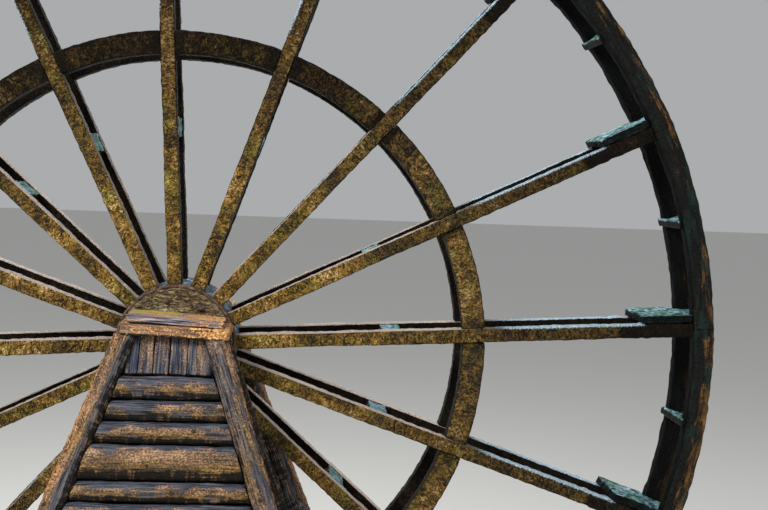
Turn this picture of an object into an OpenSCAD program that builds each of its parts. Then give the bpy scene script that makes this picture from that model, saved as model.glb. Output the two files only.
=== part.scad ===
// Timber water wheel: sixteen doubled spokes between two rims, turning between two log piers.
// The axle lies along Y, the front pier stands at -Y, and z = 0 is the ground under the piers.

/* [Wheel] */
// Outer diameter of the rims
wheel_d = 5000; // [4400:50:5600]
// Width across the front and rear sets of spokes
wheel_w = 370; // [300:5:440]
// Number of doubled spokes
spoke_count = 16; // [12:1:18]
// Width of a spoke, seen along the axle
spoke_w = 66; // [56:1:78]
// Thickness of a spoke, a ring or a rim along the axle
spoke_t = 75; // [60:1:85]
// Height of the rim boards, inside to outside
rim_h = 100; // [80:1:130]
// Outer radius of the middle rings
ring_r = 1418; // [1100:1:1600]
// Height of the middle rings, inside to outside
ring_h = 106; // [80:1:130]
// Distance of the spacer blocks from the axle
spacer_r = 990; // [600:1:1150]
// Length of a spacer block along its spoke
spacer_l = 94; // [60:1:140]
// Turn of the first spoke from upright, at rest
wheel_turn = -3.1; // [-11:0.1:11]
// Free height under the wheel
ground_gap = 100; // [60:5:300]

/* [Hub] */
// Diameter of the drum over its hoops
hub_d = 546; // [520:2:600]
// How far the drum stands out past the spokes at each end
hub_proud = 40; // [30:1:60]
// Depth of the spoke sockets
socket_h = 66; // [40:1:70]
// Radial thickness of the iron hoops
hoop_t = 14; // [6:1:20]
// Diameter of the iron shaft
shaft_d = 70; // [50:1:90]

/* [Paddles] */
// Thickness of the long boards fixed to the spokes
long_t = 38; // [25:1:55]
// How far the long boards reach inside the rims
long_in = 238; // [160:1:340]
// Thickness of the short boards between the spokes
short_t = 40; // [25:1:55]
// How far the short boards reach inside the rims
short_in = 15; // [10:1:60]
// How far the short boards sit off the middle between two spokes, on the side of the long boards
short_shift = 27; // [0:1:40]
// How far all the boards stay short of the rims' outside
board_set_back = 10; // [4:1:30]

/* [Piers] */
// Diameter of the corner logs
log_d = 96; // [80:1:110]
// Half the distance between the corner logs at axle height
half_w = 217; // [200:1:260]
// Distance between the raking logs and the upright logs at axle height
pier_l = 172; // [150:1:240]
// Sideways lean of the corner logs, in degrees from upright
side_lean = 20; // [12:0.5:24]
// Outward lean of the raking logs, in degrees from upright
rake = 24; // [15:0.5:30]
// Gap between the hub and the upright logs
hub_gap = 45; // [40:1:80]
// Height of the lower cap plank's underside over the axle
cap_rise = 78; // [70:1:100]
// Thickness of the lower cap plank
cap_low_t = 50; // [35:1:70]
// Thickness of the upper cap plank
cap_top_t = 44; // [30:1:60]
// Set-back of the upper cap plank at each end and at the front
cap_step = 25; // [10:1:45]
// How far the cap planks stand out past the raking logs
cap_proud = 17; // [5:1:40]
// How far the cap planks sit to the right of the axle, seen from the front
cap_shift = 20; // [-25:1:25]
// Gap between the hub and the cap planks
cap_gap = 35; // [32:1:40]
// Depth below the axle of the upright boards' foot
board_drop = 90; // [85:1:130]
// Thickness of the upright boards
board_t = 30; // [20:1:40]
// Number of upright boards under the cap
board_count = 5; // [3:1:7]
// How far the flat backs of the half-logs lie inside the corner logs' axes
inset = 30; // [24:1:34]
// Gap between neighbouring half-logs or boards
split = 3; // [1:0.5:6]
// Width of the bearing beam along the axle
beam_w = 98; // [70:1:110]
// Width of the keeper block across the shaft
keeper_w = 210; // [150:1:230]
// How far the shaft reaches past the bearing beam
shaft_end = 20; // [5:1:40]

/* [Fits] */
// Clearance where a round face seats on its neighbour
seat = 0.3; // [0.2:0.05:0.6]
// Radial running clearance of the shaft in its bearings
running = 0.08; // [0.02:0.01:0.1]

/* [Hidden] */
$fn = 64;
wheel_r = wheel_d / 2;
axle_z = wheel_r + ground_gap;
rim_r = wheel_r - rim_h;
spoke_y = wheel_w / 2 - spoke_t;
step_a = 360 / spoke_count;
hub_r = hub_d / 2;
hub_y = wheel_w / 2 + hub_proud;
hoop_gap = 2;
hoop_w = hub_proud - hoop_gap;
socket_r = hub_r - socket_h;
rim_joint = 2;
post_y = hub_y + hub_gap + log_d / 2;
rake_y = post_y + pier_l;
cap_z = axle_z + cap_rise;
cap_y = hub_y + cap_gap;
board_z = axle_z - board_drop;
shaft_y = post_y + beam_w / 2 + shaft_end;

// Heights of six neighbouring half-logs, repeated down the pier and fitted to its height.
// row_mean is the mean height that sets how many rows there are
row_pattern = [96, 88, 90, 142, 84, 104];
row_mean = 100.5;
row_count = round(board_z / row_mean);
function pattern_to(n) = n == 0 ? 0 : row_pattern[(n - 1) % len(row_pattern)] + pattern_to(n - 1);
function row_z(n) = board_z * (1 - pattern_to(n) / pattern_to(row_count));
upper_rows = 2;
function upper_z(n) = board_z + (cap_z - board_z) * n / upper_rows;

// Places of the corner logs' axes at height z: half the distance across, and the distance out
function side_x(z) = half_w + (axle_z - z) * tan(side_lean);
function front_y(z) = rake_y + (axle_z - z) * tan(rake);

spoke_lines = spoke_count / 2;
spoke_names = [for (k = [1:ceil(spoke_lines)]) str("spoke_line_", k)];
PIERS = ["front", "rear"];
pier_parts = ["raking_log_left", "raking_log_right", "upright_log_left", "upright_log_right",
    "face_half_logs", "left_half_logs", "right_half_logs", "wheel_side_half_logs",
    "upright_boards", "lower_cap_plank", "upper_cap_plank", "bearing_beam", "bearing_keeper"];

module on_axle() {
    translate([0, 0, axle_z]) children();
}

// Local +Z runs out along the spoke numbered k, and -X is the side that its paddle is fixed to
module at_spoke(k) {
    rotate([0, wheel_turn + k * step_a, 0]) children();
}

module round_bar(d, y0, y1) {
    translate([0, y0, 0]) rotate([-90, 0, 0]) cylinder(d = d, h = y1 - y0);
}

module at_rear(rear) {
    mirror([0, rear ? 1 : 0, 0]) children();
}

module tube_ring(r_out, r_in, y0, y1) {
    difference() {
        round_bar(2 * r_out, y0, y1);
        round_bar(2 * r_in, y0 - 1, y1 + 1);
    }
}

// One bar of a doubled spoke: the front one, or the rear one mirrored
module spoke_bar(r0, r1, fit) {
    translate([-spoke_w / 2 - fit, -wheel_w / 2 - fit, r0])
        cube([spoke_w + 2 * fit, spoke_t + 2 * fit, r1 - r0]);
}

// The room that both rims take, with the seat's clearance. Its many sides keep the cut ends of the
// spokes and boards within 0.2 mm of round
room_sides = 256;
module rim_room() {
    for (rear = [false, true]) at_rear(rear)
        tube_ring(wheel_r + 1, rim_r - seat, -wheel_w / 2 - 1, -spoke_y + seat, $fn = room_sides);
}

module spoke(k) {
    difference() {
        at_spoke(k) for (rear = [false, true]) at_rear(rear) spoke_bar(socket_r, rim_r + rim_h / 2, 0);
        rim_room();
    }
}

// A line holds two spokes that point opposite ways, or one where their number is odd
module spoke_line(k) {
    color("#6f5320") on_axle() for (n = [k - 1, k - 1 + ceil(spoke_lines)]) if (n < spoke_count) spoke(n);
}

module shaft() {
    color("#5b4636") on_axle() round_bar(shaft_d, -shaft_y, shaft_y);
}

module hub_drum() {
    color("#6b5a35") on_axle() difference() {
        round_bar(hub_d, -hub_y, hub_y);
        round_bar(shaft_d + 2 * running, -hub_y - 1, hub_y + 1);
        for (rear = [false, true]) at_rear(rear)
            tube_ring(hub_r + 1, hub_r - hoop_t, -hub_y - 1, -hub_y + hoop_w);
        for (k = [0:spoke_count - 1]) at_spoke(k) for (rear = [false, true]) at_rear(rear)
            spoke_bar(socket_r - seat, hub_r + 1, seat / 2);
    }
}

module hub_hoop(rear) {
    color("#6e4a36") on_axle() at_rear(rear)
        tube_ring(hub_r, hub_r - hoop_t + running, -hub_y, -hub_y + hoop_w - seat);
}

module spacer_blocks() {
    color("#3f7a6a") on_axle() for (k = [0:spoke_count - 1]) at_spoke(k)
        translate([-spoke_w / 2, -spoke_y, spacer_r - spacer_l / 2])
            cube([spoke_w, 2 * spoke_y, spacer_l]);
}

// A middle ring is made of curved pieces, each fitted between two spokes
module middle_ring(rear) {
    color("#7a5c28") on_axle() at_rear(rear) difference() {
        tube_ring(ring_r, ring_r - ring_h, -wheel_w / 2, -spoke_y);
        for (k = [0:spoke_count - 1]) at_spoke(k) spoke_bar(ring_r - 2 * ring_h, ring_r + ring_h, seat);
    }
}

// A rim is made of curved boards that meet end to end over the spokes
module rim(rear) {
    color("#2b2a20") on_axle() at_rear(rear) difference() {
        tube_ring(wheel_r, rim_r, -wheel_w / 2, -spoke_y);
        for (k = [0:spoke_count - 1]) at_spoke(k)
            translate([-rim_joint / 2, -wheel_w / 2 - 1, rim_r - 1])
                cube([rim_joint, spoke_t + 2, rim_h + 2]);
    }
}

// A paddle board spans the wheel inside the rims, and its tongue passes between them
module paddle(x0, t, inner_r) {
    translate([x0, -wheel_w / 2, inner_r]) cube([t, wheel_w, wheel_r - board_set_back - inner_r]);
}

module long_paddles() {
    color("#2f5a4c") on_axle() difference() {
        for (k = [0:spoke_count - 1]) at_spoke(k) paddle(-spoke_w / 2 - long_t, long_t, rim_r - long_in);
        rim_room();
    }
}

module short_paddles() {
    color("#2f5a4c") on_axle() difference() {
        for (k = [0:spoke_count - 1])
            at_spoke(k + 0.5) paddle(-short_t / 2 - short_shift, short_t, rim_r - short_in);
        rim_room();
    }
}

// A log from p towards q, run on past both so that its ends can be cut level. It is turned about its
// own axis so that the cylinder's seam stays clear of the tips of the slanted cuts
seam_turn = 60;
module log_through(p, q, d) {
    v = q - p;
    l = norm(v);
    translate(p) rotate([0, acos(v[2] / l), atan2(v[1], v[0])])
        translate([0, 0, -d]) rotate([0, 0, seam_turn]) cylinder(d = d, h = l + 2 * d);
}

// Everything of a pier between the ground and height z
module below(z) {
    intersection() {
        translate([-2 * side_x(0), -2 * front_y(0), 0]) cube([4 * side_x(0), 2 * front_y(0), z]);
        children();
    }
}

// side is -1 for the left of the pier, seen from the front, and 1 for its right
module raking_axis(side, d) {
    log_through([side * side_x(0), -front_y(0), 0], [side * side_x(cap_z), -front_y(cap_z), cap_z], d);
}

module upright_axis(side, d) {
    log_through([side * side_x(0), -post_y, 0], [side * side_x(cap_z), -post_y, cap_z], d);
}

module raking_log(side) {
    color("#4e4a4c") below(cap_z) raking_axis(side, log_d);
}

module upright_log(side) {
    color("#4e4a4c") below(cap_z) upright_axis(side, log_d);
}

module corner_logs_room() {
    for (side = [-1, 1]) {
        raking_axis(side, log_d + 2 * seat);
        upright_axis(side, log_d + 2 * seat);
    }
}

// A half-log along X with its flat back inside and its round face towards -Y. The cylinder's seam is
// turned to +Y, on the half that is cut away
module half_log(l, h) {
    translate([0, inset, 0]) intersection() {
        rotate([90, 0, 90]) cylinder(d = h, h = l, center = true);
        translate([-l / 2, -h / 2, -h / 2]) cube([l, h / 2, h]);
    }
}

// Half-logs across the sloping front, cut round the raking logs
module face_half_logs() {
    color("#5c5450") difference() {
        below(cap_z) for (n = [0:row_count - 1]) {
            mid = (row_z(n) + row_z(n + 1)) / 2;
            h = (row_z(n) - row_z(n + 1)) / cos(rake) - split;
            translate([0, -front_y(mid), mid]) rotate([-rake, 0, 0]) half_log(2 * side_x(mid), h);
        }
        corner_logs_room();
    }
}

module side_row(side, z_low, z_high) {
    mid = (z_low + z_high) / 2;
    h = (z_high - z_low) / cos(side_lean) - split;
    l = front_y(mid) - post_y;
    translate([side * side_x(mid), -post_y - l / 2, mid])
        rotate([0, -side * side_lean, 0]) rotate([0, 0, side * 90]) half_log(l, h);
}

module side_half_logs(side) {
    color("#5c5450") difference() {
        below(cap_z) {
            for (n = [0:row_count - 1]) side_row(side, row_z(n + 1), row_z(n));
            for (n = [0:upper_rows - 1]) side_row(side, upper_z(n), upper_z(n + 1));
        }
        corner_logs_room();
    }
}

module wheel_side_half_logs() {
    color("#5c5450") difference() {
        below(cap_z) for (n = [0:row_count - 1]) {
            mid = (row_z(n) + row_z(n + 1)) / 2;
            h = row_z(n) - row_z(n + 1) - split;
            translate([0, -post_y, mid]) mirror([0, 1, 0]) half_log(2 * side_x(mid), h);
        }
        corner_logs_room();
    }
}

module upright_boards() {
    pitch = 2 * (side_x(cap_z) - split) / board_count;
    l = (cap_z - board_z) / cos(rake);
    color("#59524e") difference() {
        below(cap_z) translate([0, -front_y(board_z), board_z + split]) rotate([-rake, 0, 0])
            for (n = [0:board_count - 1])
                translate([(n - board_count / 2) * pitch + split / 2, 0, 0]) cube([pitch - split, board_t, 2 * l]);
        corner_logs_room();
    }
}

module cap_plank(level) {
    set_back = level * cap_step;
    x = side_x(cap_z) + log_d / 2 - set_back;
    y = front_y(cap_z) + log_d / 2 + cap_proud - set_back;
    translate([cap_shift - x, -y, cap_z + level * cap_low_t])
        cube([2 * x, y - cap_y, level == 0 ? cap_low_t : cap_top_t]);
}

module shaft_room() {
    on_axle() round_bar(shaft_d + 2 * running, -shaft_y - 1, 0);
}

// The beam lies between the upright logs and carries the shaft in a half-round seat
module bearing_beam() {
    shy = (inset + split) / cos(side_lean);
    low = side_x(board_z + split) - shy;
    top = side_x(axle_z) - shy;
    color("#5a4a38") difference() {
        translate([0, -post_y + beam_w / 2, 0]) rotate([90, 0, 0]) linear_extrude(beam_w)
            polygon([[-low, board_z + split], [low, board_z + split], [top, axle_z], [-top, axle_z]]);
        shaft_room();
        corner_logs_room();
    }
}

module bearing_keeper() {
    color("#5a4a38") difference() {
        translate([-keeper_w / 2, -post_y - beam_w / 2, axle_z]) cube([keeper_w, beam_w, cap_rise]);
        shaft_room();
    }
}

module pier_part(name) {
    if (name == "raking_log_left") raking_log(-1);
    if (name == "raking_log_right") raking_log(1);
    if (name == "upright_log_left") upright_log(-1);
    if (name == "upright_log_right") upright_log(1);
    if (name == "face_half_logs") face_half_logs();
    if (name == "left_half_logs") side_half_logs(-1);
    if (name == "right_half_logs") side_half_logs(1);
    if (name == "wheel_side_half_logs") wheel_side_half_logs();
    if (name == "upright_boards") upright_boards();
    if (name == "lower_cap_plank") color("#8a6a44") cap_plank(0);
    if (name == "upper_cap_plank") color("#8a7a44") cap_plank(1);
    if (name == "bearing_beam") bearing_beam();
    if (name == "bearing_keeper") bearing_keeper();
}

shaft();
hub_drum();
hub_hoop(false);  // front_hub_hoop
hub_hoop(true);  // rear_hub_hoop
spacer_blocks();
middle_ring(false);  // front_middle_ring
middle_ring(true);  // rear_middle_ring
rim(false);  // front_rim
rim(true);  // rear_rim
long_paddles();
short_paddles();
for (k = [1:ceil(spoke_lines)]) spoke_line(k);
for (p = PIERS, q = pier_parts) at_rear(p == "rear") pier_part(q);
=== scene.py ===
"""Looks of a timber water wheel between two log piers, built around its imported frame.

The sections follow the wheel as it is put together: the piers' logs, half-logs, boards and caps, the
bearings and shaft, then the hub, spokes, rings, rims and paddle boards, and last the studio.
"""
import math

import bpy
import numpy as np
from mathutils import Matrix, Vector


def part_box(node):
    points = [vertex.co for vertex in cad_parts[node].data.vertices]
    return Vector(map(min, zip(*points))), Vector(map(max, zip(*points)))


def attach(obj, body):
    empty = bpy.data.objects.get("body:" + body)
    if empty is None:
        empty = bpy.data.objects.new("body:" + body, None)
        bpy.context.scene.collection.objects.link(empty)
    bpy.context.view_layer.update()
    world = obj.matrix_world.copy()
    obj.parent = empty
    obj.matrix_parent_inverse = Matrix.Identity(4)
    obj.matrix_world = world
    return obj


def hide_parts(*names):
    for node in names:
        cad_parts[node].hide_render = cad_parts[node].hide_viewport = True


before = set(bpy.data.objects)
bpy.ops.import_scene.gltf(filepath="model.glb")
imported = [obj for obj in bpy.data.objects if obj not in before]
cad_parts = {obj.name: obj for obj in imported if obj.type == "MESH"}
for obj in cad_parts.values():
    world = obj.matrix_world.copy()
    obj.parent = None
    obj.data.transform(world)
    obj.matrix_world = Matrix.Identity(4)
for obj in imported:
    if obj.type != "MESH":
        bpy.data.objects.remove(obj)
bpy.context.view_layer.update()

# Corner logs. Each pier stands on four round logs, two upright beside the wheel and two raking out in
# front of it, all leaning towards each other. They are peeled softwood, gone slate grey, with orange
# flakes of inner bark left on their outer sides, and they are cut level at the ground and at the cap.
rim_low, rim_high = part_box("front_rim")
wheel_radius = (rim_high.x - rim_low.x) / 2
axle_height = rim_high.z - wheel_radius
cap_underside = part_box("front_lower_cap_plank")[0].z
log_radius = 0.048
side_lean = math.radians(20)
rake = math.radians(24)
half_width_at_axle = 0.217
upright_out = 0.318
raking_out_at_axle = 0.490
end_round = 0.004
log_spacing = 0.016
log_points_around = 22
# Painted shade, near black, spread over the upright logs beside the wheel.
upright_painted_shade = 0.7
piers = {"front": 1, "rear": -1}
sides = {"left": -1, "right": 1}


def rough(points, size, seed, waves=20):
    """A smooth random height, mostly between -1 and 1, at each point: a sum of sine waves whose
    directions and phases come from the seed, with lengths near size along each axis."""
    draw = np.random.default_rng(seed)
    heading = draw.normal(size=(waves, 3))
    heading *= draw.uniform(0.7, 1.5, (waves, 1)) / np.linalg.norm(heading, axis=1, keepdims=True)
    phase = draw.uniform(0, 2 * np.pi, waves)
    turns = (points / np.asarray(size, float)) @ heading.T
    return np.sin(2 * np.pi * turns + phase).sum(axis=-1) / math.sqrt(2 * waves)


def ramp(value, low, high):
    """0 at low, 1 at high and an even, smooth rise between them."""
    t = np.clip((value - low) / (high - low), 0, 1)
    return t * t * (3 - 2 * t)


def stick(start, stop, outline, spacing, edge=end_round):
    """A stick's own points (along, across, through): the outline carried from start to stop, drawn in
    at both ends round an edge and on towards the middle. start and stop take (across, through)."""
    span = float(np.max(stop(*outline.T) - start(*outline.T)))
    count = max(int(span / spacing), 4)
    size = np.abs(outline).mean()
    shrink = np.array([0.35, 0.75, 1 - edge / size, 1 - 0.3 * edge / size])
    back = np.array([0, 0, 0, 0.3 * edge])
    scale = np.concatenate([shrink, np.ones(count), shrink[::-1]])[:, None]
    inset = np.concatenate([back, np.full(count, edge), back[::-1]])[:, None]
    share = np.concatenate([np.zeros(4), np.linspace(0, 1, count), np.ones(4)])[:, None]
    middle = outline.mean(axis=0)
    across = middle[0] + (outline[:, 0] - middle[0]) * scale
    through = middle[1] + (outline[:, 1] - middle[1]) * scale
    along = (1 - share) * (start(across, through) + inset) + share * (stop(across, through) - inset)
    return np.stack([along, across, through], axis=-1)


def outward(grid, loop=False):
    """Unit normals of a grid that is closed around: the step around crossed with the step along."""
    around = np.roll(grid, -1, axis=1) - np.roll(grid, 1, axis=1)
    if loop:
        along = np.roll(grid, -1, axis=0) - np.roll(grid, 1, axis=0)
    else:
        along = np.gradient(grid, axis=0)
    normal = np.cross(around, along)
    return normal / np.maximum(np.linalg.norm(normal, axis=-1, keepdims=True), 1e-9)


def placed(own, origin, axes):
    """Own coordinates (along, across, through) laid from the origin along three unit axes."""
    return np.asarray(origin) + own @ np.asarray(axes)


def closed_faces(rows, columns, loop):
    """Quads between neighbouring rings. An open run of rings ends in a fan of triangles at each end,
    round a middle point; a looped run joins its last ring to its first."""
    i = np.arange(rows if loop else rows - 1)[:, None]
    j = np.arange(columns)[None, :]
    next_i, next_j = (i + 1) % rows, (j + 1) % columns
    quads = np.stack(np.broadcast_arrays(
        i * columns + j, i * columns + next_j, next_i * columns + next_j, next_i * columns + j), axis=-1)
    if loop:
        return quads.reshape(-1, 4), np.zeros((0, 3), int)
    j, next_j = np.arange(columns), (np.arange(columns) + 1) % columns
    first, last = np.full(columns, rows * columns), np.full(columns, rows * columns + 1)
    end = (rows - 1) * columns
    fans = [np.stack([first, next_j, j], axis=-1), np.stack([last, end + j, end + next_j], axis=-1)]
    return quads.reshape(-1, 4), np.concatenate(fans)


def piece(name, parts, material, body, slot, *nodes):
    """One object from closed grids. A part is (points, marks, loop); marks are its values by name:
    grain is its own coordinates, the others are numbers that its material reads."""
    points, quads, fans, marks, count = [], [], [], {}, 0
    for grid, values, loop in parts:
        rows, columns = grid.shape[:2]
        four, three = closed_faces(rows, columns, loop)
        for key, value in [("place", grid), *values.items()]:
            flat = value.reshape(rows * columns, -1)
            if not loop:
                flat = np.concatenate([flat, flat[:columns].mean(0)[None], flat[-columns:].mean(0)[None]])
            marks.setdefault(key, []).append(flat)
        quads.append(four + count)
        fans.append(three + count)
        count += rows * columns + (0 if loop else 2)
    marks = {key: np.concatenate(value) for key, value in marks.items()}
    quads, fans = np.concatenate(quads), np.concatenate(fans)
    mesh = bpy.data.meshes.new(name)
    mesh.vertices.add(count)
    mesh.vertices.foreach_set("co", marks.pop("place").astype(np.float32).ravel())
    mesh.loops.add(quads.size + fans.size)
    mesh.loops.foreach_set("vertex_index", np.concatenate([quads.ravel(), fans.ravel()]).astype(np.int32))
    mesh.polygons.add(len(quads) + len(fans))
    starts = np.concatenate([np.arange(len(quads)) * 4, quads.size + np.arange(len(fans)) * 3])
    mesh.polygons.foreach_set("loop_start", starts.astype(np.int32))
    mesh.polygons.foreach_set("use_smooth", np.ones(len(starts), bool))
    for key, value in marks.items():
        kind = "FLOAT_VECTOR" if value.shape[1] == 3 else "FLOAT"
        layer = mesh.attributes.new(key, kind, "POINT")
        layer.data.foreach_set("vector" if value.shape[1] == 3 else "value", value.astype(np.float32).ravel())
    mesh.update(calc_edges=True)
    mesh.validate()
    mesh.materials.append(material)
    made = bpy.data.objects.new(name, mesh)
    bpy.context.scene.collection.objects.link(made)
    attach(made, body)
    if nodes:
        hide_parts(*nodes)
    return made


def colour(code):
    """A linear colour from an sRGB hex code."""
    values = [int(code[i:i + 2], 16) / 255 for i in (1, 3, 5)]
    return tuple(v / 12.92 if v <= 0.04045 else ((v + 0.055) / 1.055) ** 2.4 for v in values) + (1.0,)


def give(tree, node, inputs):
    """Gives a node's inputs their values, or links from other nodes' sockets."""
    for key, value in inputs.items():
        if isinstance(value, bpy.types.NodeSocket):
            tree.links.new(value, node.inputs[key])
        else:
            node.inputs[key].default_value = value


def add(tree, kind, settings=None, inputs=None, out=0):
    """Adds a node of one kind with its properties set and its inputs given, and returns its output
    out. The setting stops fills a colour ramp with (position, hex) pairs."""
    node = tree.nodes.new("ShaderNode" + kind)
    for key, value in (settings or {}).items():
        if key == "stops":
            elements = node.color_ramp.elements
            while len(elements) < len(value):
                elements.new(0.5)
            for element, (position, code) in zip(elements, value):
                element.position, element.color = position, colour(code)
        else:
            setattr(node, key, value)
    give(tree, node, inputs or {})
    return node.outputs[out]


# Settings that many nodes share: a times b plus c, a smooth rise, and a mix of colours.
times_plus = {"operation": "MULTIPLY_ADD"}
smooth = {"interpolation_type": "SMOOTHSTEP"}
in_colour = {"data_type": "RGBA"}


def blank(name):
    """A new node material's tree, with its shader and nothing else linked."""
    material = bpy.data.materials.new(name)
    material.use_nodes = True
    return material, material.node_tree, material.node_tree.nodes["Principled BSDF"]


def weathered_log(name, slate, stain, flake, shade_and_check_colour, cloud_way, flake_size=1.0):
    """Peeled log timber out in the rain, in layers: slate grain split by dark checks along the log, soft
    furry stains as large as cloud_way says where stain is high, crisp flakes of inner bark where mark is
    high, and black in the checks and black painted shade, broken into drips, where shade is high. warm turns
    a stain from tan to ochre."""
    material, tree, shader = blank(name)
    grain = add(tree, "Attribute", {"attribute_name": "grain"}, out="Vector")
    mark, stained, warm, relief, shade, knot = (
        add(tree, "Attribute", {"attribute_name": key}, out="Fac")
        for key in ("mark", "stain", "warm", "relief", "shade", "knot"))
    long_way = add(tree, "Mapping", {}, {"Vector": grain, "Scale": (7, 120, 120)})
    checks = add(tree, "TexNoise", {}, {
        "Vector": long_way, "Scale": 1.0, "Detail": 4.0, "Roughness": 0.62, "Distortion": 0.2})
    cloud_place = add(tree, "Mapping", {}, {"Vector": grain, "Scale": cloud_way})
    clouds = add(tree, "TexNoise", {}, {
        "Vector": cloud_place, "Scale": 1.0, "Detail": 6.0, "Roughness": 0.64})
    patch_way = add(tree, "Mapping", {}, {"Vector": grain, "Scale": (13, 30, 30)})
    patches = add(tree, "TexNoise", {}, {
        "Vector": patch_way, "Scale": flake_size, "Detail": 8.0, "Roughness": 0.74})
    crumbs = add(tree, "TexNoise", {}, {"Vector": grain, "Scale": 125.0, "Detail": 3.0, "Roughness": 0.6})
    drip_way = add(tree, "Mapping", {}, {"Vector": grain, "Scale": (48, 8, 8)})
    drips = add(tree, "TexNoise", {}, {"Vector": drip_way, "Scale": 1.0, "Detail": 4.0, "Roughness": 0.6})
    slate_tone = add(tree, "ValToRGB", {"stops": slate}, {"Fac": checks})
    fur = add(tree, "Math", times_plus, {0: clouds, 1: 0.8, 2: crumbs})
    fur = add(tree, "Math", times_plus, {0: checks, 1: 0.4, 2: fur})
    fur = add(tree, "MapRange", {}, {"Value": fur, "From Min": 0.78, "From Max": 1.42})
    tan_tone = add(tree, "ValToRGB", {"stops": stain[:4]}, {"Fac": fur})
    ochre_tone = add(tree, "ValToRGB", {"stops": stain[4:]}, {"Fac": fur})
    stain_tone = add(tree, "Mix", in_colour, {0: warm, 6: tan_tone, 7: ochre_tone}, 2)
    soft = add(tree, "Math", {"operation": "ADD"}, {0: stained, 1: clouds})
    soft = add(tree, "Math", times_plus, {0: drips, 1: 0.2, 2: soft})
    soft = add(tree, "Math", times_plus, {0: crumbs, 1: 0.45, 2: soft})
    soft = add(tree, "MapRange", smooth, {"Value": soft, "From Min": 1.12, "From Max": 1.46, "To Max": 0.92})
    tone = add(tree, "Mix", in_colour, {0: soft, 6: slate_tone, 7: stain_tone}, 2)
    flake_tone = add(tree, "ValToRGB", {"stops": flake}, {"Fac": crumbs})
    reach = add(tree, "Math", {"operation": "ADD"}, {0: mark, 1: patches})
    reach = add(tree, "Math", times_plus, {0: crumbs, 1: 0.5, 2: reach})
    reach = add(tree, "Math", times_plus, {0: checks, 1: 0.5, 2: reach})
    flaked = add(tree, "MapRange", smooth, {"Value": reach, "From Min": 1.45, "From Max": 1.56})
    tone = add(tree, "Mix", in_colour, {0: flaked, 6: tone, 7: flake_tone}, 2)
    # Painted shade: black where shade is high, broken into drip streaks and joined by the dark checks.
    streak = add(tree, "MapRange", {}, {
        "Value": drips, "From Min": 0.36, "From Max": 0.64, "To Min": 1.5, "To Max": 0.5})
    deep = add(tree, "Math", {"operation": "MULTIPLY"}, {0: shade, 1: streak})
    deep = add(tree, "Math", times_plus, {0: relief, 1: -0.25, 2: deep})
    deep = add(tree, "Math", times_plus, {0: patches, 1: -1.0, 2: deep})
    deep = add(tree, "Math", times_plus, {0: checks, 1: -2.2, 2: deep})
    shade_and_checks = add(tree, "MapRange", smooth, {
        "Value": deep, "From Min": -1.38, "From Max": -0.82, "To Max": 0.95})
    tone = add(tree, "Mix", in_colour, {0: shade_and_checks, 6: tone, 7: colour(shade_and_check_colour)}, 2)
    off_knot = add(tree, "Math", {"operation": "MULTIPLY"}, {0: knot, 1: 32.0})
    ring = add(tree, "ValToRGB", {"stops": [
        (0.0, "#ffffff"), (0.3, "#e0e0e0"), (0.42, "#303030"), (0.55, "#b0b0b0"), (0.8, "#000000")]}, {
        "Fac": off_knot})
    tone = add(tree, "Mix", in_colour, {0: ring, 6: tone, 7: colour("#17120f")}, 2)
    height = add(tree, "Math", times_plus, {0: flaked, 1: 0.25, 2: checks})
    height = add(tree, "Math", times_plus, {0: crumbs, 1: 0.7, 2: height})
    bump = add(tree, "Bump", {}, {"Height": height, "Strength": 1.0, "Distance": 0.013})
    damp = add(tree, "MapRange", {}, {"Value": patches, "To Min": 0.55, "To Max": 0.85})
    give(tree, shader, {"Base Color": tone, "Normal": bump, "Roughness": damp, "Specular IOR Level": 0.18})
    return material


def knots_near(own, spots):
    """Distance in metres of each point to the nearest knot, drawn out along the grain."""
    away = [np.hypot((own[..., 0] - s) * 0.75, own[..., 1] - a) + 10 * (own[..., 2] < through)
            for s, a, through in spots]
    return np.minimum(np.min(away, axis=0), 1.0) if spots else np.ones(own.shape[:2])


tan_and_ochre = [(0.15, "#2e221a"), (0.42, "#5c4835"), (0.62, "#8a6b4f"), (0.88, "#c29b79"),
                 (0.15, "#21180e"), (0.42, "#4d3a1e"), (0.62, "#73562a"), (0.88, "#a07d48")]
corner_log_timber = weathered_log(
    "peeled_corner_log",
    [(0.32, "#16151a"), (0.44, "#33343d"), (0.55, "#504f55"), (0.7, "#766d68")], tan_and_ochre,
    [(0.32, "#3d2a1a"), (0.45, "#7c5839"), (0.57, "#ad7f52"), (0.7, "#dcaa76")], "#110e0c",
    (4.5, 24, 24), 2.2)
ring_turn = np.linspace(0, 2 * np.pi, log_points_around, endpoint=False)
log_outline = log_radius * np.stack([np.cos(ring_turn), np.sin(ring_turn)], axis=-1)


def half_width(z):
    """Half the distance between the left and right corner logs at height z."""
    return half_width_at_axle + (axle_height - z) * math.tan(side_lean)


def raking_out(z):
    """Distance of the raking logs from the wheel's middle plane at height z."""
    return raking_out_at_axle + (axle_height - z) * math.tan(rake)


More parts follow.
